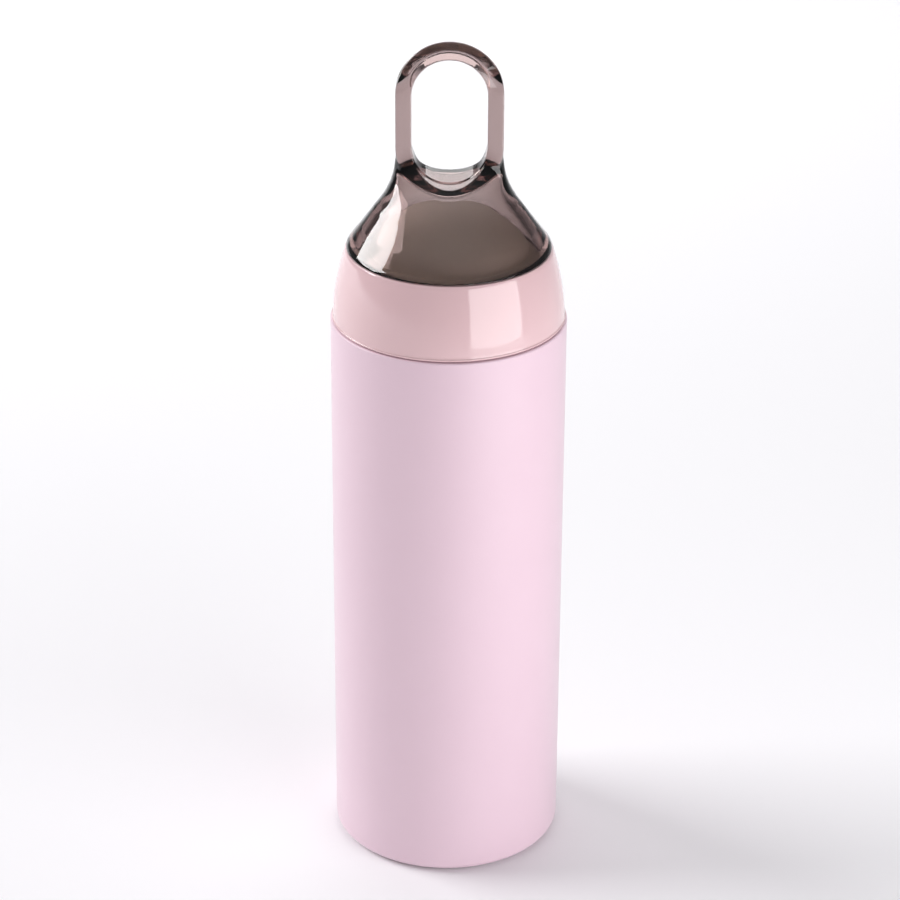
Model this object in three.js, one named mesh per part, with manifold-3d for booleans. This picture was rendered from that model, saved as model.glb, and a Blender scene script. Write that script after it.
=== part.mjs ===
// Vacuum-insulated shaker bottle with a screw lid and a carry loop.
// Millimetres, +Z up. The origin is the centre of the foot pad's face, which rests on the table.
import * as THREE from 'three';
import { mergeVertices } from 'three/addons/utils/BufferGeometryUtils.js';
import Module from 'manifold-3d';

const wasm = await Module();
wasm.setup();

// ---------------------------------------------------------------- driving dimensions
const bodyRadius = 35;            // painted outer shell
const bodyTop = 174;              // shoulder plane, where the lid's collar meets the shell
const shellWall = 0.5;
const shellBottom = 0.8;          // the foot pad lifts the shell clear of the table
const bottomCorner = 2.2;
const topCorner = 0.6;

const neckRadius = 26;
const neckTop = 189.4;
const mouthRadius = 24.6;         // 49 mm bore
const neckSkin = 0.6;

const vesselRadius = 32;
const vesselWall = 0.5;
const vesselBottom = 8;
const vesselCorner = 6;
const vesselSeam = 18;            // weld between the pressed base and the drawn wall
const shoulderStart = 156;
const shoulderEnd = 171.5;

const threadLead = 8;             // two starts, 4 mm pitch
const threadStarts = 2;
const threadHeight = 1.1;
const threadSweepTurns = 0.68;
const maleThreadBase = 178.6;
const threadRoot = 0.3;           // how far a ridge is sunk into the wall that carries it

const collarBase = bodyTop + 0.3;
const collarTop = 196;
const collarBaseRadius = 34.6;
const collarTopRadius = 30.4;
const recessRadius = 28.9;        // the smoke cap's skirt drops into this recess
const flangeTop = 193.4;
const flangeThickness = 1.4;
const flangeBore = 24.5;

const coreRadius = 29.2;
const coreBore = neckRadius + 1.4;
const coreBottom = 175.2;
const coreTop = 191.8;
const plugRadius = 23.8;
const plugBottom = 179.2;
const plugBore = 20.2;
const plugFloor = 1.6;
const grooveBottom = 181.4;
const grooveTop = 185.2;
const grooveRadius = 21.8;

const capBase = collarTop + 0.15;
const capRimHeight = 0.3;
const loopRadius = 15.6;          // outside of the carry loop
const loopHoleRadius = 10.95;
const loopTopArc = 243.1;
const loopBottomArc = 227.8;
const loopDepth = 6.4;
const loopRounding = 0.7;
const tentTop = 226;              // where the hub has become the loop's bar
const capFloorThickness = 3;      // between the finger hole and the hollow under it
const hollowTop = 219.2;          // of the clear hollow inside the hub
const roofRadius = 21;            // the hollow's roof sags under the finger hole
const domeRadius = 23.6;          // the lid's dome inside the smoke cap
const domeRise = 12;
const skirtOuter = 28.6;
const skirtInner = 26.8;
const skirtBottom = 193.6;

const getterRadius = 4.5;
const getterHeight = 1.6;
const getterPlace = 15;           // distance from the axis
const getterSeat = 3.75;

const ballRadius = 14;
const ballWire = 1.1;
const ballTurns = 5;
const ballPole = 0.2;             // radians left open at each pole of the winding

const fineSegments = 40;
const smallSegments = 24;

// ---------------------------------------------------------------- materials
function material(color, roughness, metalness) {
  return new THREE.MeshStandardMaterial({ color, roughness, metalness });
}
const palePinkPaint = () => material(0xe9c9da, 0.6, 0.1);
const glossPink = () => material(0xe3c0c4, 0.12, 0);
const smoke = () => material(0x8d7f7b, 0.05, 0);
const satinSteel = () => material(0xb9b7b4, 0.35, 1);
const brightSteel = () => material(0xc9c9c9, 0.18, 1);
const copper = () => material(0xb87446, 0.3, 1);
const greySilicone = () => material(0x9a979a, 0.8, 0);
const whiteSilicone = () => material(0xe6e3e3, 0.7, 0);
const pinkPlastic = () => material(0xd9b4ba, 0.45, 0);
const foam = () => material(0xe9e4d2, 0.95, 0);
const glassBead = () => material(0x7f8487, 0.2, 0);
const greyPlastic = () => material(0xc9cbc2, 0.45, 0);
const blackRubber = () => material(0x1d1c1e, 0.7, 0);

// ---------------------------------------------------------------- closed meshes and booleans
function closed(geometry) {
  const bare = geometry.clone();
  bare.deleteAttribute('normal');
  bare.deleteAttribute('uv');
  const merged = mergeVertices(bare, 1e-4);
  const index = [];
  const source = merged.index.array;
  for (let i = 0; i < source.length; i += 3) {
    const [a, b, c] = [source[i], source[i + 1], source[i + 2]];
    if (a !== b && b !== c && c !== a) index.push(a, b, c);
  }
  merged.setIndex(index);
  if (signedVolume(merged) < 0) {
    for (let i = 0; i < index.length; i += 3) [index[i], index[i + 1]] = [index[i + 1], index[i]];
    merged.setIndex(index);
  }
  merged.computeVertexNormals();
  return merged;
}

function signedVolume(geometry) {
  const p = geometry.attributes.position;
  const index = geometry.index.array;
  const [a, b, c] = [new THREE.Vector3(), new THREE.Vector3(), new THREE.Vector3()];
  let total = 0;
  for (let i = 0; i < index.length; i += 3) {
    a.fromBufferAttribute(p, index[i]);
    b.fromBufferAttribute(p, index[i + 1]);
    c.fromBufferAttribute(p, index[i + 2]);
    total += a.dot(b.cross(c)) / 6;
  }
  return total;
}

function solid(geometry) {
  const mesh = closed(geometry);
  return new wasm.Manifold(new wasm.Mesh({
    numProp: 3,
    vertProperties: new Float32Array(mesh.attributes.position.array),
    triVerts: new Uint32Array(mesh.index.array),
  }));
}

function geometryOf(manifold) {
  const mesh = manifold.getMesh();
  const geometry = new THREE.BufferGeometry();
  geometry.setAttribute('position', new THREE.BufferAttribute(mesh.vertProperties, 3));
  geometry.setIndex(new THREE.BufferAttribute(mesh.triVerts, 1));
  geometry.computeVertexNormals();
  return geometry;
}

// ---------------------------------------------------------------- profiles, as [radius, height] points
function arc(centreR, centreZ, radius, fromDegrees, toDegrees, steps) {
  const points = [];
  for (let i = 0; i <= steps; i++) {
    const angle = THREE.MathUtils.degToRad(fromDegrees + (toDegrees - fromDegrees) * i / steps);
    points.push([centreR + radius * Math.cos(angle), centreZ + radius * Math.sin(angle)]);
  }
  return points;
}

function bezier(start, control, end, steps) {
  const curve = new THREE.QuadraticBezierCurve(
    new THREE.Vector2(...start), new THREE.Vector2(...control), new THREE.Vector2(...end));
  return curve.getPoints(steps).map((p) => [p.x, p.y]);
}

// An S-curve that leaves and arrives vertically, as a spun shoulder does.
function shoulder(fromR, fromZ, toR, toZ, steps) {
  const middle = (fromZ + toZ) / 2;
  const curve = new THREE.CubicBezierCurve(
    new THREE.Vector2(fromR, fromZ), new THREE.Vector2(fromR, middle + 2),
    new THREE.Vector2(toR, middle + 2), new THREE.Vector2(toR, toZ));
  return curve.getPoints(steps).map((p) => [p.x, p.y]);
}

function turned(points, segments = fineSegments) {
  const outline = points.map(([r, z]) => new THREE.Vector2(r, z));
  const onAxis = points[0][0] === 0 && points[points.length - 1][0] === 0;
  if (!onAxis) outline.push(outline[0].clone());
  return new THREE.LatheGeometry(outline, segments).rotateX(Math.PI / 2);
}

// ---------------------------------------------------------------- bottle body
function outerShell() {
  const lipRadius = 31;
  const inside = bodyRadius - shellWall;
  const neckInside = neckRadius - neckSkin;
  const neckFoot = 1.2;           // fillet between the shoulder and the neck
  const body = turned([
    [lipRadius, shellBottom],
    ...arc(bodyRadius - bottomCorner, shellBottom + bottomCorner, bottomCorner, -90, 0, 3),
    ...arc(bodyRadius - topCorner, bodyTop - topCorner, topCorner, 0, 90, 2),
    ...arc(neckRadius + neckFoot, bodyTop + neckFoot, neckFoot, -90, -180, 2),
    [neckRadius, neckTop],
    [neckInside, neckTop],
    [neckInside, bodyTop + 0.2],
    [neckInside + 0.9, bodyTop - shellWall],
    [bodyRadius - topCorner, bodyTop - shellWall],
    [inside, bodyTop - topCorner],
    [inside, shellBottom + bottomCorner],
    [bodyRadius - bottomCorner, shellBottom + shellWall],
    [lipRadius, shellBottom + shellWall],
  ]);
  let shell = solid(body);
  for (const ridge of threadRidges(neckRadius - threadRoot, neckRadius + threadHeight, maleThreadBase, 0)) {
    shell = shell.add(ridge);
  }
  return geometryOf(shell);
}

// Helical ridges of trapezoid section, thinned away at both ends, one for each start.
function threadRidges(rootRadius, crestRadius, baseHeight, firstTurn) {
  const baseHalf = 0.95;
  const crestHalf = 0.45;
  const taperTurns = 0.08;
  const section = new THREE.Shape([
    new THREE.Vector2(rootRadius, -baseHalf),
    new THREE.Vector2(crestRadius, -crestHalf),
    new THREE.Vector2(crestRadius, crestHalf),
    new THREE.Vector2(rootRadius, baseHalf),
  ]);
  const steps = Math.round(threadSweepTurns * fineSegments);
  const ridges = [];
  for (let start = 0; start < threadStarts; start++) {
    const strip = new THREE.ExtrudeGeometry(section, {
      depth: threadSweepTurns, steps, bevelEnabled: false,
    });
    const p = strip.attributes.position;
    for (let i = 0; i < p.count; i++) {
      const along = p.getZ(i);
      const fade = Math.min(1, along / taperTurns, (threadSweepTurns - along) / taperTurns);
      const radius = rootRadius + (p.getX(i) - rootRadius) * Math.max(0.1, fade);
      const turn = firstTurn + along;
      const angle = 2 * Math.PI * (turn + start / threadStarts);
      p.setXYZ(i, radius * Math.cos(angle), radius * Math.sin(angle),
        baseHeight + p.getY(i) + threadLead * turn);
    }
    ridges.push(solid(strip));
  }
  return ridges;
}

function innerVessel() {
  const inside = vesselRadius - vesselWall;
  const neckOuter = mouthRadius + vesselWall;
  const rimTop = neckTop + 0.6;   // rolled rim over the shell's neck
  return turned([
    [vesselRadius, vesselSeam],
    ...shoulder(vesselRadius, shoulderStart, neckOuter, shoulderEnd, 5),
    [neckOuter, neckTop + 0.1],
    [neckRadius, neckTop + 0.1],
    [neckRadius - 0.2, rimTop],
    [mouthRadius + 0.2, rimTop],
    [mouthRadius, rimTop - 0.2],
    ...shoulder(inside, shoulderStart, mouthRadius, shoulderEnd, 5).reverse(),
    [inside, vesselSeam],
  ]);
}

function vesselBase() {
  const edge = vesselSeam - 0.1;
  const cornerR = vesselRadius - vesselCorner;
  const cornerZ = vesselBottom + vesselCorner;
  return turned([
    [0, vesselBottom],
    ...arc(cornerR, cornerZ, vesselCorner, -90, 0, 3),
    [vesselRadius, edge],
    [vesselRadius - vesselWall, edge],
    ...arc(cornerR, cornerZ, vesselCorner - vesselWall, 0, -90, 3),
    [0, vesselBottom + vesselWall],
  ]);
}

// Welded into the shell's foot; its dimple holds the sealed evacuation hole.
function baseCap() {
  const sheet = 0.7;
  const seat = shellBottom + shellWall + 0.1;
  const plateau = 3;
  const dimple = 1.5;
  const holeRadius = 0.8;
  return turned([
    [holeRadius, plateau + dimple],
    [2.9, plateau + dimple],
    [4.4, plateau],
    [29.9, plateau],
    [30.5, seat],
    [32.6, seat],
    [32.6, seat + sheet],
    [31, seat + sheet],
    [30.4, plateau + sheet],
    [4.1, plateau + sheet],
    [2.6, plateau + dimple + sheet],
    [holeRadius, plateau + dimple + sheet],
  ]);
}

function sealBead() {
  return turned([[0, 3.1], [1.9, 3.2], [2.6, 3.7], [2.4, 4.2], [1.6, 4.4], [0, 4.4]], smallSegments);
}

function getterPill() {
  const pill = new THREE.CylinderGeometry(getterRadius - 0.3, getterRadius, getterHeight, smallSegments);
  return pill.rotateX(Math.PI / 2).translate(getterPlace, 0, getterSeat + getterHeight / 2);
}

// A bent strip over the pill, with a foot at each end that is spot-welded to the base cap.
function getterStrap() {
  const [thickness, width, foot] = [0.3, 3, 1.2];
  const inside = getterRadius + 0.15;
  const under = getterHeight + 0.1;
  const half = [
    [inside + foot, 0], [inside + foot, thickness], [inside + thickness, thickness],
    [inside + thickness, under + thickness],
  ];
  const inner = [[inside, under], [inside, 0]];
  const mirrored = (points) => points.map(([x, z]) => [-x, z]).reverse();
  const outline = [...half, ...mirrored(half), ...mirrored(inner), ...inner];
  const strip = new THREE.ExtrudeGeometry(
    new THREE.Shape(outline.map((p) => new THREE.Vector2(...p))), { depth: width, bevelEnabled: false });
  return standUp(strip, width).translate(getterPlace, 0, getterSeat);
}

function copperFoil() {
  return turned([
    [vesselRadius + 0.15, 16],
    [vesselRadius + 0.3, 16],
    [vesselRadius + 0.3, 150],
    [vesselRadius + 0.15, 150],
  ]);
}

function footPad() {
  const grooves = [10, 20];       // radii of two shallow rings moulded in the pad's face
  const face = grooves.flatMap((r) => [[r - 0.8, 0], [r, 0.6], [r + 0.8, 0]]);
  return turned([[0, 0], ...face, [29.7, 0], [30.2, 0.5], [30.2, 1.4], [29.5, 2.9], [0, 2.9]]);
}

// ---------------------------------------------------------------- lid
function lidCore() {
  const wall = turned([
    [0, plugBottom],
    [plugRadius - 1, plugBottom],
    [plugRadius, plugBottom + 1],
    [plugRadius, grooveBottom],
    [grooveRadius, grooveBottom],
    [grooveRadius, grooveTop],
    [plugRadius, grooveTop],
    [plugRadius, coreTop - 1.4],
    [coreBore, coreTop - 1.4],
    [coreBore, coreBottom + 0.5],
    [coreBore + 0.5, coreBottom],
    [coreRadius, coreBottom],
    [coreRadius, coreTop],
    [plugBore, coreTop],
    [plugBore, plugBottom + plugFloor],
    [0, plugBottom + plugFloor],
  ]);
  const femaleBase = maleThreadBase - threadLead / threadStarts / 2;
  const firstTurn = 0.14;
  let core = solid(wall);
  for (const ridge of threadRidges(coreBore + threadRoot, coreBore - threadHeight, femaleBase, firstTurn)) {
    core = core.add(ridge);
  }
  return geometryOf(core);
}

function lidSeal() {
  const inner = grooveRadius + 0.3;
  const lip = mouthRadius - 0.25;
  const waist = lip - 0.85;
  const [low, high] = [grooveBottom + 0.3, grooveTop - 0.3];
  return turned([
    [inner, low],
    [lip - 0.3, low],
    [lip, low + 0.4],
    [waist, low + 1.2],
    [waist, high - 1.2],
    [lip, high - 0.8],
    [lip - 0.3, high],
    [inner, high],
  ]);
}

function lidInsulation() {
  const r = plugBore - 0.3;
  const [low, high] = [plugBottom + plugFloor + 0.3, coreTop - 0.4];
  return turned([[0, low], [r, low], [r, high], [0, high]], smallSegments);
}

function lidCollar() {
  const outer = bezier(
    [collarBaseRadius - 0.3, collarBase + 1], [34.2, 184.5], [collarTopRadius, collarTop], 7);
  const bead = [[-0.5, 0], [0, 0.25], [0, 0.65]].map(([x, z]) => [collarBaseRadius + x, collarBase + z]);
  const flangeBottom = flangeTop - flangeThickness;
  const inner = bezier(
    [coreRadius + 0.1, flangeBottom], [32.1, 184.5], [collarBaseRadius - 2, collarBase], 4);
  return turned([
    ...bead,
    ...outer,
    [recessRadius, collarTop],
    [recessRadius, flangeTop],
    [flangeBore, flangeTop],
    [flangeBore, flangeBottom],
    ...inner,
  ]);
}

function lidTopPlate() {
  const r = skirtInner - 0.4;
  const low = flangeTop + 0.1;
  const shelf = low + 1.4;
  const dome = arc(0, 0, 1, 0, 90, 8).map(([x, y]) => [domeRadius * x, shelf + domeRise * y]);
  return turned([[0, low], [r, low], [r, shelf - 0.4], [r - 0.4, shelf], ...dome.slice(0, -1),
    [0, shelf + domeRise]]);
}

function capSealRing() {
  const ring = new THREE.TorusGeometry((recessRadius + skirtOuter - 0.9) / 2, 0.45, 6, fineSegments);
  return ring.translate(0, 0, skirtBottom + 1.2);
}

// The finger hole's outline: two half circles joined by straight sides.
function stadium(radius) {
  const shape = new THREE.Shape();
  shape.absarc(0, loopTopArc, radius, 0, Math.PI, false);
  shape.absarc(0, loopBottomArc, radius, Math.PI, 2 * Math.PI, false);
  shape.closePath();
  return shape;
}

function standUp(geometry, depth) {
  return geometry.translate(0, 0, -depth / 2).rotateX(Math.PI / 2);
}

// A bar of the hole's outline that runs out past both faces of the cap.
function holePrism(radius) {
  const depth = 3 * collarTopRadius;
  return standUp(new THREE.ExtrudeGeometry(stadium(radius), {
    depth, bevelEnabled: false, curveSegments: 10,
  }), depth);
}

function loopRing() {
  const ring = stadium(loopRadius);
  ring.holes.push(stadium(loopHoleRadius));
  const straight = loopDepth - 2 * loopRounding;
  const bar = new THREE.ExtrudeGeometry(ring, {
    depth: straight,
    bevelEnabled: true,
    bevelThickness: loopRounding,
    bevelSize: loopRounding,
    bevelOffset: -loopRounding,
    bevelSegments: 2,
    curveSegments: 10,
  });
  return standUp(bar, straight);
}

// A curve's radius at a height, along the straight runs between its points.
function radiusAt(curve, z) {
  const above = curve.findIndex(([, height]) => height >= z);
  if (above <= 0) return curve[above < 0 ? curve.length - 1 : 0][0];
  const [[fromR, fromZ], [toR, toZ]] = [curve[above - 1], curve[above]];
  return fromR + (toR - fromR) * (z - fromZ) / (toZ - fromZ);
}

// A tent-shaped solid: round at its foot, drawn in to a flat blade at its top. The side curve is its
// outline seen from the front, the front curve its outline seen from the side, and every level between
// them is a superellipse, a little pointed half way up and squarer near the blade.
function tent(side, front, foot, steps) {
  const [low, high] = [side[0][1], side[side.length - 1][1]];
  const levels = [foot];
  for (let i = 0; i <= steps; i++) levels.push(low + (high - low) * i / steps);
  const outline = [[0, foot], ...levels.map((z) => [radiusAt(side, z), z]), [0, high]];
  const geometry = turned(outline, fineSegments);
  const p = geometry.attributes.position;
  for (let i = 0; i < p.count; i++) {
    const row = i % outline.length - 1;
    if (row < 0 || row >= levels.length) continue;
    const z = levels[row];
    const rise = Math.max(0, (z - capBase - capRimHeight) / (tentTop - capBase - capRimHeight));
    const power = 2 / (2 - 0.9 * rise * (1 - rise) ** 2 + 2.4 * rise ** 4);
    const radius = Math.hypot(p.getX(i), p.getY(i));
    const [cos, sin] = [p.getX(i) / radius, p.getY(i) / radius];
    const [a, b] = [radiusAt(side, z), radiusAt(front, z)];
    p.setXYZ(i, a * Math.sign(cos) * Math.abs(cos) ** power, b * Math.sign(sin) * Math.abs(sin) ** power, z);
  }
  return geometry;
}

// The smoke cap's outlines: a nearly straight flank that sweeps up into the loop's bar.
function capOutlines() {
  const rim = capBase + capRimHeight;
  const bore = [[skirtInner, rim - 1], [skirtInner - 0.9, rim]];
  return {
    outerSide: [
      ...bezier([collarTopRadius, rim], [26.2, 202.2], [21.9, 208.3], 6),
      ...bezier([21.9, 208.3], [16.4, 215], [15.8, 222.5], 6), [loopRadius - 0.5, tentTop]],
    outerFront: [
      ...bezier([collarTopRadius, rim], [21.8, 206.8], [8.6, 216.8], 8),
      ...bezier([8.6, 216.8], [4.2, 220.8], [loopDepth / 2 - 0.3, tentTop], 6)],
    innerSide: [
      ...bore, [23.4, 200.4], ...bezier([17.9, 208.4], [14.4, 213.2], [14.2, hollowTop], 6)],
    innerFront: [
      ...bore, ...bezier([23.2, 200.4], [18.9, 205.8], [7.1, 214.7], 6),
      ...bezier([7.1, 214.7], [3, 217.7], [1.2, hollowTop], 4)],
  };
}

function hollowRoof() {
  const depth = 3 * collarTopRadius;
  const lowest = loopBottomArc - loopHoleRadius - capFloorThickness;
  const bar = new THREE.CylinderGeometry(roofRadius, roofRadius, depth, 48);
  return bar.translate(0, 0, lowest + roofRadius);
}

function loopCap() {
  const outlines = capOutlines();
  const outerTent = solid(tent(outlines.outerSide, outlines.outerFront, capBase, 12));
  const innerTent = solid(tent(outlines.innerSide, outlines.innerFront, skirtBottom - 1, 10));
  const grooveLow = skirtBottom + 0.6;
  const grooveHigh = grooveLow + 1.2;
  const grooveFloor = skirtOuter - 0.9;
  const skirt = solid(turned([
    [skirtInner - 1, skirtBottom],
    [skirtOuter, skirtBottom],
    [skirtOuter, grooveLow],
    [grooveFloor, grooveLow],
    [grooveFloor, grooveHigh],
    [skirtOuter, grooveHigh],
    [skirtOuter, capBase + 0.5],
    [skirtInner - 1, capBase + 0.5],
  ]));
  const hollow = innerTent.subtract(solid(hollowRoof()));
  const pierced = outerTent.subtract(solid(holePrism(loopHoleRadius)));
  return geometryOf(pierced.add(solid(loopRing())).add(skirt).subtract(hollow));
}

// ---------------------------------------------------------------- mixing ball
class SphereWinding extends THREE.Curve {
  getPoint(t, target = new THREE.Vector3()) {
    const polar = ballPole + (Math.PI - 2 * ballPole) * t;
    const around = 2 * Math.PI * ballTurns * t;
    const ring = ballRadius * Math.sin(polar);
    return target.set(ring * Math.cos(around), ring * Math.sin(around), -ballRadius * Math.cos(polar));
  }
}

function mixingBall() {
  const wire = new THREE.Shape().absarc(0, 0, ballWire, 0, 2 * Math.PI, false);
  const winding = new THREE.ExtrudeGeometry(wire, {
    extrudePath: new SphereWinding(), steps: 90, bevelEnabled: false, curveSegments: 3,
  });
  return winding.translate(0, 0, vesselBottom + vesselWall + ballRadius + ballWire + 0.3);
}

// ---------------------------------------------------------------- assembly
const bottle = new THREE.Group();

function addPiece(name, geometry, finish) {
  const mesh = new THREE.Mesh(closed(geometry), finish);
  mesh.name = name;
  bottle.add(mesh);
}

addPiece('outer_shell', outerShell(), palePinkPaint());
addPiece('inner_vessel', innerVessel(), satinSteel());
addPiece('vessel_base', vesselBase(), satinSteel());
addPiece('base_cap', baseCap(), satinSteel());
addPiece('vacuum_seal_bead', sealBead(), glassBead());
addPiece('getter_pill', getterPill(), satinSteel());
addPiece('getter_strap', getterStrap(), satinSteel());
addPiece('copper_foil_wrap', copperFoil(), copper());
addPiece('foot_pad', footPad(), greySilicone());
addPiece('plug_gasket', lidSeal(), whiteSilicone());
addPiece('lid_core', lidCore(), pinkPlastic());
addPiece('lid_insulation', lidInsulation(), foam());
addPiece('lid_collar', lidCollar(), glossPink());
addPiece('lid_top_plate', lidTopPlate(), greyPlastic());
addPiece('cap_seal_ring', capSealRing(), blackRubber());
addPiece('loop_cap', loopCap(), smoke());
addPiece('mixing_ball', mixingBall(), brightSteel());

export default bottle;
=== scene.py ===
"""Looks for an insulated shaker bottle: matte pink steel body, glossy pink collar, clear smoke loop cap."""
import itertools
import math

import bpy
import numpy as np
from mathutils import Matrix, Vector


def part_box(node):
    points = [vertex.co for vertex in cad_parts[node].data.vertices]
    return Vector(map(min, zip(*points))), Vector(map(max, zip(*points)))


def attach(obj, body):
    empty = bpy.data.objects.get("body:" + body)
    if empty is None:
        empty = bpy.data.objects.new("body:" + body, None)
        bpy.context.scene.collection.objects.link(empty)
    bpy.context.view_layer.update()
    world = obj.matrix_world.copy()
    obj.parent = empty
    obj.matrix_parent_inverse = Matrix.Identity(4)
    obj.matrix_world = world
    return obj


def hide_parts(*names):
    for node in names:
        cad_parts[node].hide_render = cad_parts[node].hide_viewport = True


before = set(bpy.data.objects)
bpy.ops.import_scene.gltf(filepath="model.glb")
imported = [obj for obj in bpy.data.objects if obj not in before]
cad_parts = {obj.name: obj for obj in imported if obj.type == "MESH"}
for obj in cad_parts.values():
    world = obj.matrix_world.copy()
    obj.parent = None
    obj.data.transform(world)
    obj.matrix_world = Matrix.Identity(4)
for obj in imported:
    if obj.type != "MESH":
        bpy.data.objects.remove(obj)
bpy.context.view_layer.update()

MM = 0.001


# ------------------------------------------------------------------ sizes, in millimetres, from the frame
def extent(node):
    """A CAD node's largest radius, lowest height and highest height."""
    low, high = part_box(node)
    return high.x / MM, low.z / MM, high.z / MM


SHELL_R, SHELL_LOW, NECK_TOP = extent("outer_shell")
VESSEL_R, VESSEL_SEAM, RIM_TOP = extent("inner_vessel")
_, VESSEL_BASE_LOW, VESSEL_BASE_TOP = extent("vessel_base")
COLLAR_R, COLLAR_LOW, COLLAR_TOP = extent("lid_collar")
CORE_R, CORE_LOW, CORE_TOP = extent("lid_core")
CAP_R, SKIRT_LOW, LOOP_TOP = extent("loop_cap")
PLATE_R, PLATE_LOW, _ = extent("lid_top_plate")
GASKET_R, GASKET_LOW, GASKET_TOP = extent("plug_gasket")
FOAM_R, FOAM_LOW, FOAM_TOP = extent("lid_insulation")
PAD_R, _, PAD_TOP = extent("foot_pad")
RING_R, RING_LOW, RING_TOP = extent("cap_seal_ring")
FOIL_R, FOIL_LOW, FOIL_TOP = extent("copper_foil_wrap")
BASE_R, BASE_LOW, _ = extent("base_cap")
_, BEAD_LOW, BEAD_TOP = extent("vacuum_seal_bead")
_, BALL_LOW, BALL_TOP = extent("mixing_ball")

BODY_TOP = COLLAR_LOW - 0.3       # the collar hovers just over the shell's shoulder
WALL = 0.5                        # steel sheet
NECK_R = 26.0
NECK_WALL = 0.6
NECK_END = 29.0                   # radius at which the paint stops on the shoulder
MOUTH_R = 24.6
SHOULDER_LOW, SHOULDER_HIGH = 156.0, 171.5
VESSEL_CORNER = 6.0

THREAD_LEAD = 8.0
THREAD_STARTS = 2
THREAD_SWEEP = 0.68               # turns
THREAD_HEIGHT = 1.1
MALE_BASE = 178.6
FEMALE_FIRST_TURN = 0.14
THREAD_SUNK = 0.3

RECESS_R = 28.9
FLANGE_TOP, FLANGE_LOW, FLANGE_R = 193.4, 192.0, 24.5
CORE_BORE = NECK_R + 1.4
PLUG_R, PLUG_BORE, PLUG_LOW, PLUG_FLOOR = 23.8, 20.2, 179.2, 1.6
GROOVE_R = 21.8

CAP_LOW = COLLAR_TOP + 0.15
RIM_TOP_OF_CAP = CAP_LOW + 0.3
LOOP_R = 15.6
HOLE_R = 10.95
LOOP_ARC_HIGH = LOOP_TOP - LOOP_R
LOOP_ARC_LOW = 227.8
LOOP_DEPTH = 6.4
LOOP_ROUNDING = 0.45
HOLLOW_TOP = 219.2
TENT_TOP = 226.0                  # where the hub has become the loop's bar
HOLE_LOW = LOOP_ARC_LOW - HOLE_R
ROOF_R = 21.0                     # the hollow's roof sags under the finger hole
CAP_FLOOR = 3.0                   # clear plastic between the finger hole and the hollow
SKIRT_R, SKIRT_BORE = 28.6, 26.8
DOME_R, DOME_RISE = 23.6, 12.0    # the lid's dome inside the smoke cap

BALL_WINDING_R, BALL_TURNS = 14.0, 5
BALL_POLE = 0.2                   # radians left open at each pole of the winding
BALL_WIRE = (BALL_TOP - BALL_LOW) / 2 - BALL_WINDING_R * math.cos(BALL_POLE)


# ------------------------------------------------------------------ outlines
def arc(centre_r, centre_z, radius, start, end, steps=8):
    angles = np.radians(np.linspace(start, end, steps + 1))
    return [(centre_r + radius * math.cos(a), centre_z + radius * math.sin(a)) for a in angles]


def bezier(start, control, end, steps=24):
    t = np.linspace(0, 1, steps + 1)[:, None]
    start, control, end = (np.array(p, float) for p in (start, control, end))
    return (1 - t) ** 2 * start + 2 * t * (1 - t) * control + t ** 2 * end


def shoulder(from_r, from_z, to_r, to_z, steps=20):
    """An S-curve that leaves and arrives vertically, as a spun shoulder does."""
    middle = (from_z + to_z) / 2 + 2
    t = np.linspace(0, 1, steps + 1)
    s, e = (1 - t) ** 2 * (1 + 2 * t), t ** 2 * (3 - 2 * t)
    z = (1 - t) ** 3 * from_z + 3 * t * (1 - t) * middle + t ** 3 * to_z
    return list(zip(from_r * s + to_r * e, z))


def eased(outline, radius, steps=4):
    """The same closed outline with every sharp corner turned into an arc of about this radius."""
    result = []
    count = len(outline)
    for i, point in enumerate(outline):
        here = Vector(point)
        to_last = Vector(outline[i - 1]) - here
        to_next = Vector(outline[(i + 1) % count]) - here
        turn = math.pi - to_last.angle(to_next)
        cut = min(radius * math.tan(turn / 2), 0.45 * to_last.length, 0.45 * to_next.length)
        if turn < math.radians(25) or here.x < 1e-6:
            result.append(point)
            continue
        first, last = here + to_last.normalized() * cut, here + to_next.normalized() * cut
        result += [tuple(p) for p in bezier(first, here, last, steps)]
    return result


# ------------------------------------------------------------------ meshes
def make_object(name, vertices, faces, sharp_degrees=35):
    mesh = bpy.data.meshes.new(name)
    mesh.from_pydata([tuple(v) for v in np.asarray(vertices) * MM], [], faces)
    mesh.validate()
    mesh.shade_smooth()
    if sharp_degrees:
        mesh.set_sharp_from_angle(angle=math.radians(sharp_degrees))
    piece = bpy.data.objects.new(name, mesh)
    bpy.context.scene.collection.objects.link(piece)
    return piece


def lathe(name, outline, segments=192, closed=True):
    """Turns an anticlockwise outline of (radius, height) about Z. Points on the axis become poles."""
    vertices, rings = [], []
    for r, z in outline:
        if r < 1e-6:
            rings.append([len(vertices)] * segments)
            vertices.append((0, 0, z))
            continue
        rings.append(list(range(len(vertices), len(vertices) + segments)))
        for k in range(segments):
            angle = 2 * math.pi * k / segments
            vertices.append((r * math.cos(angle), r * math.sin(angle), z))
    faces = []
    pairs = list(zip(rings, rings[1:] + rings[:1]))
    for low, high in pairs if closed else pairs[:-1]:
        for k in range(segments):
            n = (k + 1) % segments
            corners = [low[k], low[n], high[n], high[k]]
            corners = [c for i, c in enumerate(corners) if c != corners[i - 1]]
            if len(corners) > 2:
                faces.append(corners)
    return make_object(name, vertices, faces)


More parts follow.
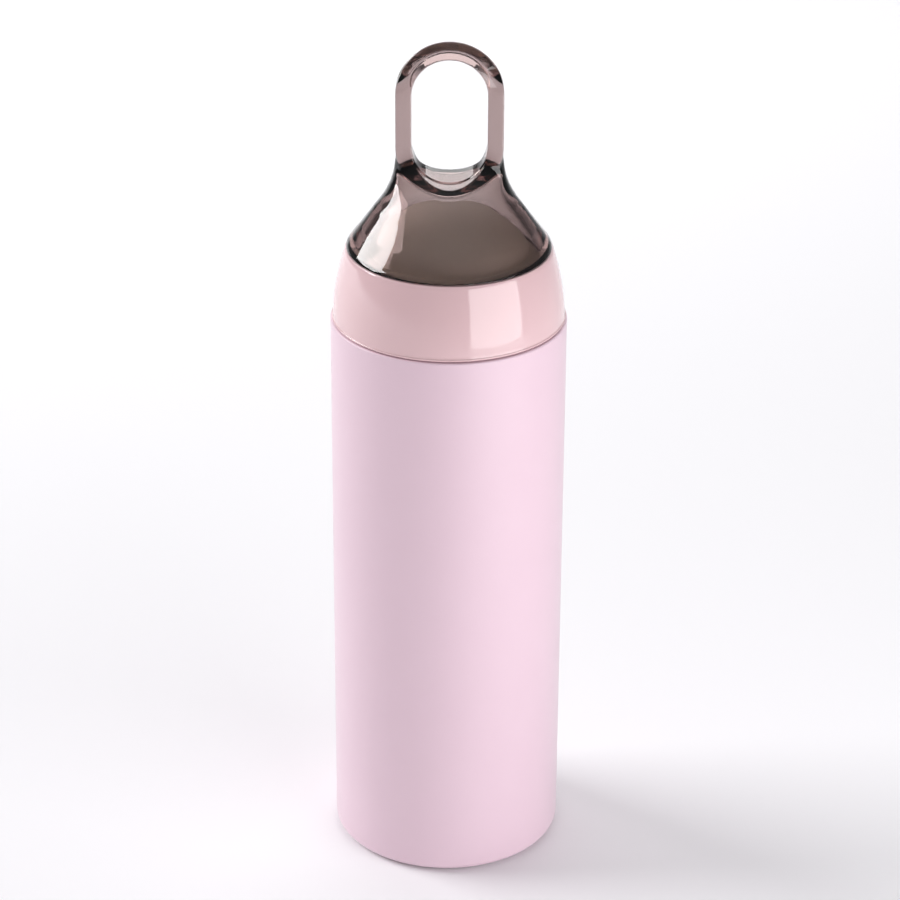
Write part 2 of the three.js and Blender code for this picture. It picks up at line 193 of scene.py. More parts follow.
def sweep(points, radius, sides=16):
    """Vertices and faces of a round wire along points, with rounded ends."""
    points = np.asarray(points, float)
    along = np.gradient(points, axis=0)
    along /= np.linalg.norm(along, axis=1)[:, None]
    side = np.cross(along[0], (0.3, 0.2, 1))
    vertices, faces = [], []
    cap = [(-math.cos(a), math.sin(a)) for a in (0.5, 1.0)]
    stations = [(0, back, shrink) for back, shrink in cap]
    stations += [(i, 0, 1) for i in range(len(points))]
    stations += [(len(points) - 1, -back, shrink) for back, shrink in reversed(cap)]
    for i, shift, shrink in stations:
        side -= along[i] * np.dot(side, along[i])
        side /= np.linalg.norm(side)
        up = np.cross(along[i], side)
        for k in range(sides):
            angle = 2 * math.pi * k / sides
            ray = math.cos(angle) * side + math.sin(angle) * up
            vertices.append(points[i] + along[i] * shift * radius + ray * radius * shrink)
    for row in range(len(stations) - 1):
        for k in range(sides):
            n = (k + 1) % sides
            faces.append([row * sides + k, row * sides + n, (row + 1) * sides + n, (row + 1) * sides + k])
    faces.append(list(range(sides))[::-1])
    faces.append(list(range(len(vertices) - sides, len(vertices))))
    return vertices, faces


def thread_ridge(root_r, crest_r, base_z, first_turn, start):
    """One helical ridge with rounded flanks, faded out at both ends."""
    half, crest_half, fade_turns, steps = 0.95, 0.42, 0.08, 150
    section = [(0, -half), (0.75, -crest_half - 0.1), (1, -crest_half + 0.12),
               (1, crest_half - 0.12), (0.75, crest_half + 0.1), (0, half)]
    vertices, faces = [], []
    for i in range(steps + 1):
        along = THREAD_SWEEP * i / steps
        fade = max(0.1, min(1, along / fade_turns, (THREAD_SWEEP - along) / fade_turns))
        fade = math.sin(fade * math.pi / 2)
        turn = first_turn + along
        angle = 2 * math.pi * (turn + start / THREAD_STARTS)
        for depth, height in section:
            r = root_r + (crest_r - root_r) * depth * fade
            z = base_z + height + THREAD_LEAD * turn
            vertices.append((r * math.cos(angle), r * math.sin(angle), z))
    n = len(section)
    inward = crest_r < root_r
    for i in range(steps):
        for k in range(n):
            quad = [i * n + k, i * n + (k + 1) % n, (i + 1) * n + (k + 1) % n, (i + 1) * n + k]
            faces.append(quad if inward else quad[::-1])
    ends = [list(range(n)), list(range(steps * n, steps * n + n))[::-1]]
    faces += [e[::-1] for e in ends] if inward else ends
    return vertices, faces


def joined(piece, others):
    """Boolean union, so that the piece is one closed skin."""
    for vertices, faces in others:
        tool = make_object("tool", vertices, faces)
        modifier = piece.modifiers.new("union", "BOOLEAN")
        modifier.operation = "UNION"
        modifier.solver = "EXACT"
        modifier.object = tool
        bpy.context.view_layer.update()
        evaluated = piece.evaluated_get(bpy.context.evaluated_depsgraph_get())
        mesh = bpy.data.meshes.new_from_object(evaluated)
        piece.modifiers.clear()
        piece.data = mesh
        bpy.data.objects.remove(tool)
    piece.data.shade_smooth()
    piece.data.set_sharp_from_angle(angle=math.radians(35))
    return piece


# ------------------------------------------------------------------ the loop cap, as a smooth implicit solid
def smooth_min(a, b, k):
    h = np.maximum(k - np.abs(a - b), 0) / k
    return np.minimum(a, b) - h * h * k / 4


def smooth_max(a, b, k):
    return -smooth_min(-a, -b, k)


def eased_step(t):
    t = np.clip(t, 0, 1)
    return t * t * (3 - 2 * t)


def slope(field, points, step=0.04):
    """The gradient of a field at points, by central differences."""
    columns = []
    for axis in range(3):
        shift = np.zeros(3)
        shift[axis] = step
        columns.append((field(points + shift) - field(points - shift)) / (2 * step))
    return np.stack(columns, -1)


def stadium(points, radius):
    """Distance from a bar along Y with the finger hole's outline, at this radius."""
    x, z = points[..., 0], points[..., 2]
    from_middle = z - np.clip(z, LOOP_ARC_LOW, LOOP_ARC_HIGH)
    return np.hypot(x, from_middle) - radius


def tent(points, side, front):
    """Distance, to first order, from a solid that is round at its foot and a flat blade at its top."""
    def level(p):
        z = p[..., 2]
        half_x = np.interp(z, side[:, 1], side[:, 0])
        half_y = np.interp(z, front[:, 1], front[:, 0])
        rise = np.clip((z - RIM_TOP_OF_CAP) / (TENT_TOP - RIM_TOP_OF_CAP), 0, 1)
        power = 2 - 0.9 * rise * (1 - rise) ** 2 + 2.4 * rise ** 4
        spread = (np.abs(p[..., 0]) / half_x) ** power + (np.abs(p[..., 1]) / half_y) ** power
        return spread ** (1 / power) - 1
    steepness = np.linalg.norm(slope(level, points, 0.1), axis=-1)
    return level(points) / np.maximum(steepness, 1e-3)


def with_foot(curve, reach):
    """The curve, carried on in a straight line below its start."""
    run = curve[0] - curve[1]
    return np.vstack([curve[0] + run / abs(run[1]) * reach, curve])


# The cap's outlines are (half width, height): side as seen from the front, front as seen from the side.
FLANK_END = (21.9, 208.3)         # where the straight flank starts to sweep up into the loop
BLADE_START = (8.6, 216.8)        # where the front face starts to flatten into the loop's bar
INNER_BLADE = (7.1, 214.7)
OUTER_SIDE = np.vstack([
    with_foot(bezier((CAP_R, RIM_TOP_OF_CAP), (26.2, 202.2), FLANK_END, 20), 3),
    bezier(FLANK_END, (16.4, 215), (15.8, 222.5), 40)[1:],
    [(LOOP_R - 0.5, TENT_TOP)]])
OUTER_FRONT = np.vstack([
    with_foot(bezier((CAP_R, RIM_TOP_OF_CAP), (21.8, 206.8), BLADE_START, 40), 3),
    bezier(BLADE_START, (4.2, 220.8), (LOOP_DEPTH / 2 - 0.3, TENT_TOP), 40)[1:]])
INNER_BORE = [(SKIRT_BORE + 0.1, RIM_TOP_OF_CAP - 1), (SKIRT_BORE - 0.9, RIM_TOP_OF_CAP)]
INNER_SIDE = np.vstack([
    [*INNER_BORE, (23.4, 200.4)],
    bezier((17.9, 208.4), (14.4, 213.2), (14.2, HOLLOW_TOP), 40)])
INNER_FRONT = np.vstack([
    INNER_BORE,
    bezier((23.2, 200.4), (18.9, 205.8), INNER_BLADE, 40),
    bezier(INNER_BLADE, (3, 217.7), (1.2, HOLLOW_TOP), 40)[1:]])


def loop_bar(points):
    """Distance from the carry loop: an upright bar section that thins outwards over the arch."""
    width = LOOP_R - HOLE_R
    outward = np.clip(stadium(points, HOLE_R) / width, 0, 1)
    over_arch = eased_step((points[..., 2] - LOOP_ARC_HIGH) / 8)
    thinning = (0.75 * outward + 0.15 * outward ** 2) * over_arch
    across = np.abs(stadium(points, (LOOP_R + HOLE_R) / 2)) - width / 2 + LOOP_ROUNDING
    deep = np.abs(points[..., 1]) - LOOP_DEPTH / 2 * (1 - thinning) + LOOP_ROUNDING
    corner = np.hypot(np.maximum(across, 0), np.maximum(deep, 0))
    return corner + np.minimum(np.maximum(across, deep), 0) - LOOP_ROUNDING


def cap_hollow(points):
    x, z = points[..., 0], points[..., 2]
    roof_centre = HOLE_LOW - CAP_FLOOR + ROOF_R
    hollow = smooth_max(tent(points, INNER_SIDE, INNER_FRONT), z - HOLLOW_TOP, 1.6)
    return smooth_max(hollow, ROOF_R - np.hypot(x, z - roof_centre), 0.9)


def loop_cap_field(points):
    """Distance from the whole cap; the last number of each join is how wide it blends."""
    z = points[..., 2]
    r = np.hypot(points[..., 0], points[..., 1])
    hub = smooth_max(tent(points, OUTER_SIDE, OUTER_FRONT), r - CAP_R, 1.0)
    hub = smooth_max(hub, CAP_LOW - z, 0.4)
    hub = smooth_max(hub, z - TENT_TOP, 0.6)
    hub = smooth_max(hub, -stadium(points, HOLE_R + 0.25), 0.5)
    solid = smooth_min(hub, loop_bar(points), 0.9)
    skirt = np.maximum(r - SKIRT_R, np.maximum(SKIRT_LOW - z, z - CAP_LOW - 0.5))
    groove = np.maximum(SKIRT_R - 0.9 - r, np.abs(z - SKIRT_LOW - 1.2) - 0.6)
    solid = smooth_min(solid, smooth_max(skirt, -groove, 0.2), 0.2)
    return smooth_max(solid, -cap_hollow(points), 0.4)


def surface_net(field, low, high, step):
    """Quads round the zero level of a field that is the same on both sides of x = 0 and y = 0."""
    axes = [np.arange(step / 2, high[0], step), np.arange(step / 2, high[1], step),
            np.arange(low[2], high[2], step)]
    quarter = field(np.stack(np.meshgrid(*axes, indexing="ij"), -1))
    half = np.concatenate([quarter[::-1], quarter])
    values = np.concatenate([half[:, ::-1], half], axis=1)
    origin = np.array([-axes[0][-1], -axes[1][-1], axes[2][0]])
    inside = values < 0
    count = sum(
        inside[i:inside.shape[0] - 1 + i, j:inside.shape[1] - 1 + j, k:inside.shape[2] - 1 + k].astype(int)
        for i, j, k in itertools.product((0, 1), repeat=3))
    cells = (count > 0) & (count < 8)
    number = np.full(cells.shape, -1)
    number[cells] = np.arange(cells.sum())
    vertices = origin + (np.argwhere(cells) + 0.5) * step
    quads = []
    for axis in range(3):
        u, v = (axis + 1) % 3, (axis + 2) % 3
        first = np.take(inside, range(inside.shape[axis] - 1), axis)
        second = np.take(inside, range(1, inside.shape[axis]), axis)
        for crossing, order in ((first & ~second, 1), (second & ~first, -1)):
            spots = np.argwhere(crossing)
            keep = (spots[:, u] > 0) & (spots[:, v] > 0)
            keep &= (spots[:, u] < cells.shape[u]) & (spots[:, v] < cells.shape[v])
            spots = spots[keep]
            around = []
            for du, dv in ((1, 1), (0, 1), (0, 0), (1, 0)):
                cell = spots.copy()
                cell[:, u] -= du
                cell[:, v] -= dv
                around.append(number[tuple(cell.T)])
            quads.append(np.stack(around[::order], -1))
    return vertices, np.concatenate(quads)


def settle(field, vertices, quads, rounds=8):
    """Evens out the net and draws it onto the field's zero level."""
    ends = np.concatenate([quads[:, [0, 1]], quads[:, [1, 2]], quads[:, [2, 3]], quads[:, [3, 0]]])
    share = np.bincount(ends[:, 0], minlength=len(vertices))[:, None]
    for turn in range(rounds):
        if turn < rounds - 3:
            total = np.stack([np.bincount(ends[:, 0], vertices[ends[:, 1], a], len(vertices))
                              for a in range(3)], -1)
            vertices = 0.4 * vertices + 0.6 * total / share
        for _ in range(2):
            gradient = slope(field, vertices)
            squared = np.maximum((gradient ** 2).sum(-1, keepdims=True), 0.05)
            vertices = vertices - gradient * field(vertices)[:, None] / squared
    return vertices, slope(field, vertices)


def loop_cap():
    step = 0.42
    margin = 1.5
    low = (0, 0, SKIRT_LOW - margin)
    high = (CAP_R + margin, CAP_R + margin, LOOP_TOP + margin)
    vertices, quads = surface_net(loop_cap_field, low, high, step)
    vertices, normals = settle(loop_cap_field, vertices, quads)
    piece = make_object("smoke_loop_cap", vertices, quads.tolist(), sharp_degrees=None)
    normals /= np.maximum(np.linalg.norm(normals, axis=1, keepdims=True), 1e-6)
    piece.data.normals_split_custom_set_from_vertices([tuple(n) for n in normals])
    return piece


# ------------------------------------------------------------------ node materials
def principled(name, **settings):
    """A material with a Principled shader; settings are its plain socket values."""
    material = bpy.data.materials.new(name)
    material.use_nodes = True
    shader = material.node_tree.nodes["Principled BSDF"]
    for socket, value in settings.items():
        shader.inputs[socket.replace("_", " ")].default_value = value
    return material, shader


def node(material, kind, **settings):
    made = material.node_tree.nodes.new(kind)
    for key, value in settings.items():
        if key in made.inputs:
            made.inputs[key].default_value = value
        else:
            setattr(made, key, value)
    return made


def link(material, source, target):
    material.node_tree.links.new(source, target)


def noise(material, scale, detail=3.0, stretch=(1, 1, 1), roughness=0.55):
    """Noise in the object's own metres, stretched along the axes."""
    place = node(material, "ShaderNodeTexCoord")
    mapping = node(material, "ShaderNodeMapping", Scale=stretch)
    texture = node(material, "ShaderNodeTexNoise", Scale=scale, Detail=detail, Roughness=roughness)
    link(material, place.outputs["Object"], mapping.inputs["Vector"])
    link(material, mapping.outputs["Vector"], texture.inputs["Vector"])
    return texture.outputs["Fac"]


def remap(material, value, low, high, start=0.3, end=0.7):
    ramp = node(material, "ShaderNodeMapRange")
    ramp.inputs["From Min"].default_value = start
    ramp.inputs["From Max"].default_value = end
    ramp.inputs["To Min"].default_value = low
    ramp.inputs["To Max"].default_value = high
    link(material, value, ramp.inputs["Value"])
    return ramp.outputs["Result"]


def tint(material, factor, first, second):
    mix = node(material, "ShaderNodeMix", data_type="RGBA")
    mix.inputs["A"].default_value = (*first, 1)
    mix.inputs["B"].default_value = (*second, 1)
    link(material, factor, mix.inputs["Factor"])
    return mix.outputs["Result"]


def bumped(material, shader, layers):
    """Stacks (height, distance in metres, strength) bumps onto the shader's normal."""
    last = None
    for height, distance, strength in layers:
        bump = node(material, "ShaderNodeBump", Distance=distance, Strength=strength)
        link(material, height, bump.inputs["Height"])
        if last is not None:
            link(material, last, bump.inputs["Normal"])
        last = bump.outputs["Normal"]
    link(material, last, shader.inputs["Normal"])


def powder_coat():
    material, shader = principled("powder_coat", IOR=1.5, Sheen_Weight=0.45, Sheen_Roughness=0.35)
    grain = noise(material, 1900, 2.0)
    mottle = noise(material, 45, 3.0)
    link(material, tint(material, mottle, (0.775, 0.572, 0.662), (0.800, 0.600, 0.688)),
         shader.inputs["Base Color"])
    link(material, remap(material, grain, 0.34, 0.46), shader.inputs["Roughness"])
    bumped(material, shader, [(noise(material, 260, 2.0), 0.00006, 0.35), (grain, 0.00003, 0.5)])
    return material


def gloss_shell():
    material, shader = principled("gloss_collar", IOR=1.52, Coat_Weight=0.35, Coat_Roughness=0.03)
    flow = noise(material, 30, 2.0, (1, 1, 0.4))
    link(material, tint(material, flow, (0.735, 0.500, 0.525), (0.760, 0.525, 0.545)),
         shader.inputs["Base Color"])
    link(material, remap(material, noise(material, 420, 3.0), 0.07, 0.13), shader.inputs["Roughness"])
    bumped(material, shader, [(flow, 0.0002, 0.06), (noise(material, 1500, 2.0), 0.00001, 0.2)])
    return material


def smoke():
    material, shader = principled("smoke_plastic", Base_Color=(1, 1, 1, 1), Transmission_Weight=1.0, IOR=1.56)
    rub = noise(material, 160, 4.0, (1, 1, 0.5))
    link(material, remap(material, rub, 0.0, 0.035, 0.45, 0.75), shader.inputs["Roughness"])
    bumped(material, shader, [(noise(material, 55, 2.0), 0.0002, 0.02)])
    absorb = node(material, "ShaderNodeVolumeAbsorption", Color=(0.40, 0.21, 0.19, 1), Density=240.0)
    link(material, absorb.outputs["Volume"], material.node_tree.nodes["Material Output"].inputs["Volume"])
    return material


def steel(name, colour, rough, turned=True):
    """Bare metal: fine turning lines run round the axis, or an even grain."""
    material, shader = principled(name, Metallic=1.0)
    stretch = (1, 1, 60) if turned else (1, 1, 1)
    lines = noise(material, 35 if turned else 900, 5.0, stretch, 0.7)
    cloud = noise(material, 60, 3.0)
    link(material, tint(material, cloud, colour, tuple(c * 0.9 for c in colour)), shader.inputs["Base Color"])
    link(material, remap(material, lines, rough, rough + 0.12), shader.inputs["Roughness"])
    bumped(material, shader, [(lines, 0.00003, 0.35), (cloud, 0.0001, 0.05)])
    return material


def moulded(name, first, second, rough, grain_scale=700, grain_depth=0.00004, **settings):
    """Moulded plastic, rubber or foam with a fine grain and slight shading."""
    material, shader = principled(name, **settings)
    grain = noise(material, grain_scale, 3.0)
    cloud = noise(material, 70, 3.0)
    link(material, tint(material, cloud, first, second), shader.inputs["Base Color"])
    link(material, remap(material, grain, rough - 0.06, rough + 0.08), shader.inputs["Roughness"])
    bumped(material, shader, [(grain, grain_depth, 0.5)])
    return material


MOULDED = {                       # two shades, roughness
    "sealing_glass": ((0.20, 0.22, 0.24), (0.24, 0.26, 0.28), 0.2),
    "grey_silicone": ((0.30, 0.28, 0.30), (0.34, 0.32, 0.33), 0.62),
    "pink_core_plastic": ((0.66, 0.44, 0.48), (0.69, 0.47, 0.50), 0.38),
    "grey_core_plastic": ((0.84, 0.78, 0.66), (0.88, 0.82, 0.70), 0.45),
    "black_rubber": ((0.012, 0.012, 0.013), (0.02, 0.02, 0.022), 0.5),
}
SPECIAL = {
    "pink_powder_coat": powder_coat,
    "gloss_pink_plastic": gloss_shell,
    "smoke_plastic": smoke,
    "satin_steel": lambda: steel("satin_steel", (0.62, 0.61, 0.59), 0.22),
    "bright_wire": lambda: steel("bright_wire", (0.72, 0.71, 0.70), 0.10, turned=False),
    "copper_foil": lambda: steel("copper_foil", (0.75, 0.42, 0.25), 0.25),
    "white_silicone": lambda: moulded("white_silicone", (0.78, 0.76, 0.76), (0.82, 0.80, 0.80), 0.5,
                                      Subsurface_Weight=0.3, Subsurface_Scale=0.003),
    "foam": lambda: moulded("foam", (0.80, 0.75, 0.60), (0.70, 0.65, 0.50), 0.9, 500, 0.0003),
}
finishes = {}


def finish_of(name):
    """One material for each of the record's slots, made when it is first asked for."""
    if name not in finishes:
        finishes[name] = moulded(name, *MOULDED[name]) if name in MOULDED else SPECIAL[name]()
    return finishes[name]


def place(piece, body, slot, *nodes):
    """Dresses a piece, hangs it on its body and lets it stand for CAD nodes."""
    piece.data.materials.clear()
    piece.data.materials.append(finish_of(slot))
    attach(piece, body)
    if nodes:
        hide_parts(*nodes)
    return piece


# ------------------------------------------------------------------ the bottle's pieces
def painted_shell():
    """The coated part of the shell, from the rolled foot to where the bare neck begins."""
    corner, edge, lip = 2.2, 0.6, 31.0
    low = SHELL_LOW
    outline = [
        (lip, low), *arc(SHELL_R - corner, low + corner, corner, -90, 0, 10),
        *arc(SHELL_R - edge, BODY_TOP - edge, edge, 0, 90, 8),
        (NECK_END, BODY_TOP), (NECK_END, BODY_TOP - WALL),
        (SHELL_R - edge, BODY_TOP - WALL), (SHELL_R - WALL, BODY_TOP - edge - 0.3),
        *arc(SHELL_R - corner, low + corner, corner - WALL, 0, -90, 6), (lip, low + WALL)]
    return lathe("painted_shell", outline, 256)


def steel_neck():
    """The bare neck, from where the paint stops to the mouth, with its two-start thread."""
    foot, inside, end = 1.2, NECK_R - NECK_WALL, NECK_END - 0.02
    outline = eased([
        (end, BODY_TOP - WALL), (end, BODY_TOP),
        *arc(NECK_R + foot, BODY_TOP + foot, foot, -90, -180, 8),
        (NECK_R, NECK_TOP), (inside, NECK_TOP),
        (inside, BODY_TOP + 0.3), (inside + 1, BODY_TOP - WALL)], 0.12, 2)
    ridges = [thread_ridge(NECK_R - THREAD_SUNK, NECK_R + THREAD_HEIGHT, MALE_BASE, 0, start)
              for start in range(THREAD_STARTS)]
    return joined(lathe("threaded_neck", outline, 160), ridges)


def vessel():
    """The drawn wall, from the weld above the base to the lip rolled over the neck."""
    inside, outer, roll, hem = VESSEL_R - WALL, MOUTH_R + WALL, 0.25, 0.1
    outline = [
        (VESSEL_R, VESSEL_SEAM), *shoulder(VESSEL_R, SHOULDER_LOW, outer, SHOULDER_HIGH),
        (outer, NECK_TOP + hem), (NECK_R - hem, NECK_TOP + hem),
        *arc(NECK_R - roll, RIM_TOP - roll, roll, 0, 90, 4),
        *arc(MOUTH_R + roll, RIM_TOP - roll, roll, 90, 180, 4),
        *shoulder(inside, SHOULDER_LOW, MOUTH_R, SHOULDER_HIGH)[::-1], (inside, VESSEL_SEAM)]
    return lathe("steel_vessel", outline)


def vessel_base():
    """The pressed cup, with a slightly raised middle inside."""
    corner, low = VESSEL_CORNER, VESSEL_BASE_LOW
    middle = low + corner
    dish_r, dish_slope, dish_rise = 10, 0.5, 0.4
    outline = [
        (0, low), *arc(VESSEL_R - corner, middle, corner, -90, 0, 14),
        (VESSEL_R, VESSEL_BASE_TOP), (VESSEL_R - WALL, VESSEL_BASE_TOP),
        *arc(VESSEL_R - corner, middle, corner - WALL, 0, -90, 14),
        (dish_r, low + WALL + 0.05), (dish_r - dish_slope, low + WALL + dish_rise),
        (0, low + WALL + dish_rise)]
    return lathe("vessel_base_cup", outline, closed=False)


def base_disc():
    """A pressed sheet: a seat at the edge, a raised plateau and a dimple round the evacuation hole."""
    sheet, hole = 0.7, 0.8
    plateau, dimple = 3.0, 4.5                      # heights of their undersides
    dimple_r, dimple_foot, step_r, step_foot = 2.9, 4.4, 29.9, 30.5
    inset, outset = 0.3, 0.5                        # how far the upper face leans off the lower one
    outline = eased([
        (hole, dimple), (dimple_r, dimple), (dimple_foot, plateau), (step_r, plateau),
        (step_foot, BASE_LOW), (BASE_R, BASE_LOW), (BASE_R, BASE_LOW + sheet),
        (step_foot + outset, BASE_LOW + sheet), (step_r + outset, plateau + sheet),
        (dimple_foot - inset, plateau + sheet), (dimple_r - inset, dimple + sheet),
        (hole, dimple + sheet)], 0.25)
    return lathe("base_disc", outline, 160)


def foot_pad():
    """A silicone disc with two shallow rings moulded into its underside."""
    groove_r, groove_edge, corner = 0.7, 0.8, 0.5
    face_r, top_r, side_high = 29.7, 29.5, 1.4
    outline = [(0, 0)]
    for groove in (10, 20):
        outline.append((groove - groove_edge, 0))
        outline += arc(groove, 0, groove_r, 180, 0, 6)
        outline.append((groove + groove_edge, 0))
    outline += [(face_r, 0), *arc(PAD_R - corner, corner, corner, -80, 0, 5),
                (PAD_R, side_high), (top_r, PAD_TOP), (0, PAD_TOP)]
    return lathe("silicone_foot_pad", outline, 160, closed=False)


def bead():
    """The fused drop of sealing glass, widest a little below its top."""
    foot_r, belly_r, shoulder_r, crown_r = 1.9, 2.6, 2.4, 1.6
    belly, shoulder_high = 3.7, 4.2
    outline = [(0, BEAD_LOW), (foot_r, BEAD_LOW + 0.1), (belly_r, belly), (shoulder_r, shoulder_high),
               (crown_r, BEAD_TOP), (0, BEAD_TOP)]
    return lathe("vacuum_bead", outline, 48, closed=False)


def foil():
    inner = FOIL_R - 0.15
    outline = [(inner, FOIL_LOW), (FOIL_R, FOIL_LOW), (FOIL_R, FOIL_TOP), (inner, FOIL_TOP)]
    return lathe("copper_foil", outline)


# ------------------------------------------------------------------ the lid's pieces
def collar():
    """The glossy ring: a small lip at its foot, a swelling outside and a recess for the cap's skirt."""
    lip, edge, bulge = 0.38, 0.25, 184.5
    outside = bezier((COLLAR_R - 0.3, COLLAR_LOW), (34.2, bulge), (CAP_R, COLLAR_TOP), 40)
    inside = bezier((CORE_R + 0.1, FLANGE_LOW), (32.1, bulge), (COLLAR_R - 2, COLLAR_LOW), 20)
    outline = [
        (COLLAR_R - 0.6, COLLAR_LOW),
        *arc(COLLAR_R - lip, COLLAR_LOW + lip + 0.05, lip, -80, 70, 8),
        *[tuple(p) for p in outside[2:-1]],
        *arc(CAP_R - edge - 0.05, COLLAR_TOP - edge, edge, 20, 90, 4),
        (RECESS_R + 0.1, COLLAR_TOP), (RECESS_R, COLLAR_TOP - 0.1), (RECESS_R, FLANGE_TOP),
        (FLANGE_R, FLANGE_TOP), (FLANGE_R, FLANGE_LOW), *[tuple(p) for p in inside]]
    return lathe("gloss_collar", outline, 256)


def lid_core():
    """The screw cup over the neck and the plug inside it, in one moulding."""
    web_low, floor_top, chamfer = CORE_TOP - 1.4, PLUG_LOW + PLUG_FLOOR, 0.5
    groove_low, groove_top = GASKET_LOW - 0.3, GASKET_TOP + 0.3
    outline = eased([
        (0, PLUG_LOW), (PLUG_R - 1, PLUG_LOW), (PLUG_R, PLUG_LOW + 1),
        (PLUG_R, groove_low), (GROOVE_R, groove_low), (GROOVE_R, groove_top), (PLUG_R, groove_top),
        (PLUG_R, web_low), (CORE_BORE, web_low), (CORE_BORE, CORE_LOW + chamfer),
        (CORE_BORE + chamfer, CORE_LOW), (CORE_R, CORE_LOW), (CORE_R, CORE_TOP),
        (PLUG_BORE, CORE_TOP), (PLUG_BORE, floor_top), (0, floor_top)], 0.2)
    root, crest = CORE_BORE + THREAD_SUNK, CORE_BORE - THREAD_HEIGHT
    female_base = MALE_BASE - THREAD_LEAD / THREAD_STARTS / 2
    ridges = [thread_ridge(root, crest, female_base, FEMALE_FIRST_TURN, start)
              for start in range(THREAD_STARTS)]
    return joined(lathe("screw_core", outline, 160, closed=False), ridges)


def gasket():
    """A ring with two sealing lips and a waist between them."""
    inner, lip = GROOVE_R + 0.3, GASKET_R
    waist, low, high = GASKET_R - 0.85, GASKET_LOW, GASKET_TOP
    nose, lower_lip, upper_lip, waist_end = 0.3, 0.4, 0.8, 1.2
    outline = eased([
        (inner, low), (lip - nose, low), (lip, low + lower_lip), (waist, low + waist_end),
        (waist, high - waist_end), (lip, high - upper_lip), (lip - nose, high), (inner, high)], 0.25)
    return lathe("plug_ring", outline)


def foam_disc():
    outline = eased([(0, FOAM_LOW), (FOAM_R, FOAM_LOW), (FOAM_R, FOAM_TOP), (0, FOAM_TOP)], 0.5)
    return lathe("foam_disc", outline, 96, closed=False)


def top_plate():
    """The domed floor under the smoke cap."""
    shelf, edge = PLATE_LOW + 1.4, 0.3
    dome = [(DOME_R * math.cos(a), shelf + DOME_RISE * math.sin(a))
            for a in np.radians(np.linspace(0, 90, 40))]
    outline = [(0, PLATE_LOW), (PLATE_R, PLATE_LOW),
               *arc(PLATE_R - edge, shelf - edge, edge, 0, 90, 3), *dome[:-1], (0, shelf + DOME_RISE)]
    return lathe("top_plate", outline, closed=False)


def seal_ring():
    tube = (RING_TOP - RING_LOW) / 2
    outline = arc(RING_R - tube, RING_LOW + tube, tube, 0, 337.5, 15)
    return lathe("cap_o_ring", outline)


def wire_ball():
    """One wire wound from pole to pole of a sphere."""
    t = np.linspace(0, 1, 420)
    polar = BALL_POLE + (math.pi - 2 * BALL_POLE) * t
    around = 2 * math.pi * BALL_TURNS * t
    ring = BALL_WINDING_R * np.sin(polar)
    height = (BALL_LOW + BALL_TOP) / 2 - BALL_WINDING_R * np.cos(polar)
    points = np.stack([ring * np.cos(around), ring * np.sin(around), height], -1)
    return make_object("wire_mixing_ball", *sweep(points, BALL_WIRE))


def build():
    place(painted_shell(), "bottle", "pink_powder_coat", "outer_shell")
    place(steel_neck(), "bottle", "satin_steel", "outer_shell")
    place(vessel(), "bottle", "satin_steel", "inner_vessel")
    place(vessel_base(), "bottle", "satin_steel", "vessel_base")
    place(base_disc(), "bottle", "satin_steel", "base_cap")
    place(bead(), "bottle", "sealing_glass", "vacuum_seal_bead")
    place(foil(), "bottle", "copper_foil", "copper_foil_wrap")
    place(foot_pad(), "bottle", "grey_silicone", "foot_pad")
    place(gasket(), "lid_seal", "white_silicone", "plug_gasket")
    place(lid_core(), "lid", "pink_core_plastic", "lid_core")
    place(foam_disc(), "lid", "foam", "lid_insulation")
    place(collar(), "lid", "gloss_pink_plastic", "lid_collar")
    place(top_plate(), "lid", "grey_core_plastic", "lid_top_plate")
    place(seal_ring(), "lid", "black_rubber", "cap_seal_ring")
    place(loop_cap(), "lid", "smoke_plastic", "loop_cap")
    place(wire_ball(), "mixing_ball", "bright_wire", "mixing_ball")
    for name in ("getter_pill", "getter_strap"):
        cad_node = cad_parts[name]
        for material_slot in cad_node.material_slots:
            material_slot.material = finish_of("satin_steel")


# ------------------------------------------------------------------ studio
def camera():
    """Stands in front of the bottle, a little above it, and looks down along +Y."""
    back, height = 0.852, 0.554
    tilt, roll, turn = math.radians(26.5), math.radians(0.29), math.radians(-0.039)
    data = bpy.data.cameras.new("camera")
    data.sensor_width = 36
    data.lens = 126.07
    data.clip_start, data.clip_end = 0.05, 50
    eye = bpy.data.objects.new("camera", data)
    eye.location = (0, -back, height)
    level = Matrix.Rotation(turn, 3, "Z") @ Matrix.Rotation(math.pi / 2 - tilt, 3, "X")
    eye.rotation_euler = (level @ Matrix.Rotation(roll, 3, "Z")).to_euler()
    bpy.context.scene.collection.objects.link(eye)
    bpy.context.scene.camera = eye


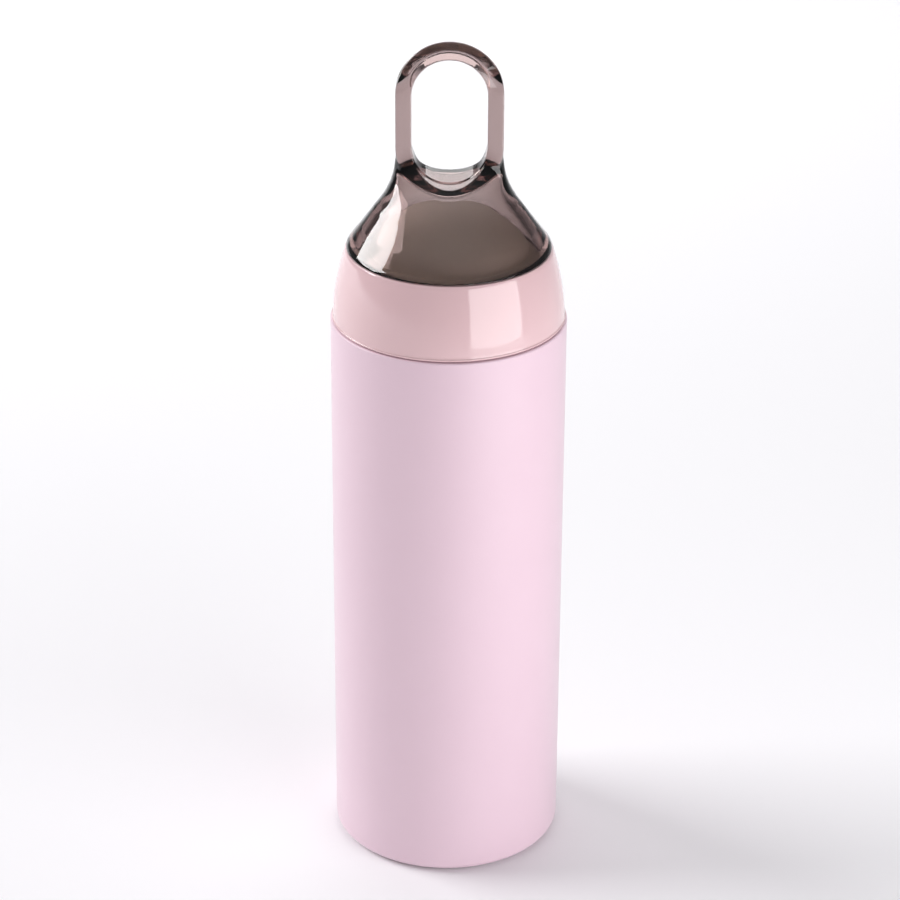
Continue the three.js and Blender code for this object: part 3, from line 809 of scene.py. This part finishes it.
def softbox(name, place_at, aim, width, height, power):
    data = bpy.data.lights.new(name, "AREA")
    data.shape = "RECTANGLE"
    data.size, data.size_y = width, height
    data.energy = power
    lamp = bpy.data.objects.new(name, data)
    lamp.location = place_at
    lamp.rotation_euler = (Vector(aim) - Vector(place_at)).to_track_quat("-Z", "Y").to_euler()
    bpy.context.scene.collection.objects.link(lamp)


def floor():
    reach = 8.0 / MM
    corners = [(-reach, -reach, 0), (reach, -reach, 0), (reach, reach, 0), (-reach, reach, 0)]
    ground = make_object("studio_floor", corners, [[0, 1, 2, 3]], None)
    material, _ = principled("studio_floor", Roughness=0.6, Base_Color=(0.93, 0.92, 0.94, 1))
    ground.data.materials.append(material)


def room():
    """A dim room that grows lighter overhead."""
    world = bpy.data.worlds.new("room")
    world.use_nodes = True
    bpy.context.scene.world = world
    tree = world.node_tree
    direction = tree.nodes.new("ShaderNodeTexCoord")
    split = tree.nodes.new("ShaderNodeSeparateXYZ")
    ramp = tree.nodes.new("ShaderNodeValToRGB")
    stops = ((0.0, 0.18), (0.2, 0.12), (0.6, 0.22), (1.0, 0.44))
    while len(ramp.color_ramp.elements) < len(stops):
        ramp.color_ramp.elements.new(0.5)
    for element, (height, level) in zip(ramp.color_ramp.elements, stops):
        element.position = height
        element.color = (level, level, level * 1.03, 1)
    tree.links.new(direction.outputs["Generated"], split.inputs["Vector"])
    tree.links.new(split.outputs["Z"], ramp.inputs["Fac"])
    tree.links.new(ramp.outputs["Color"], tree.nodes["Background"].inputs["Color"])


def studio():
    """A big soft box far off on the left, a wide faint one behind and a small low one on the right."""
    floor()
    room()
    softbox("left_box", (-2.50, 0.74, 1.62), (0, 0, 0.12), 1.95, 1.3, 80)
    softbox("back_box", (0, 0.98, 0.62), (0, 0, 0.20), 1.4, 0.66, 5.0)
    softbox("right_box", (0.42, -0.39, 0.20), (0, 0, 0.19), 0.58, 0.39, 2.55)
    bpy.context.scene.view_settings.view_transform = "Standard"


camera()
build()
studio()
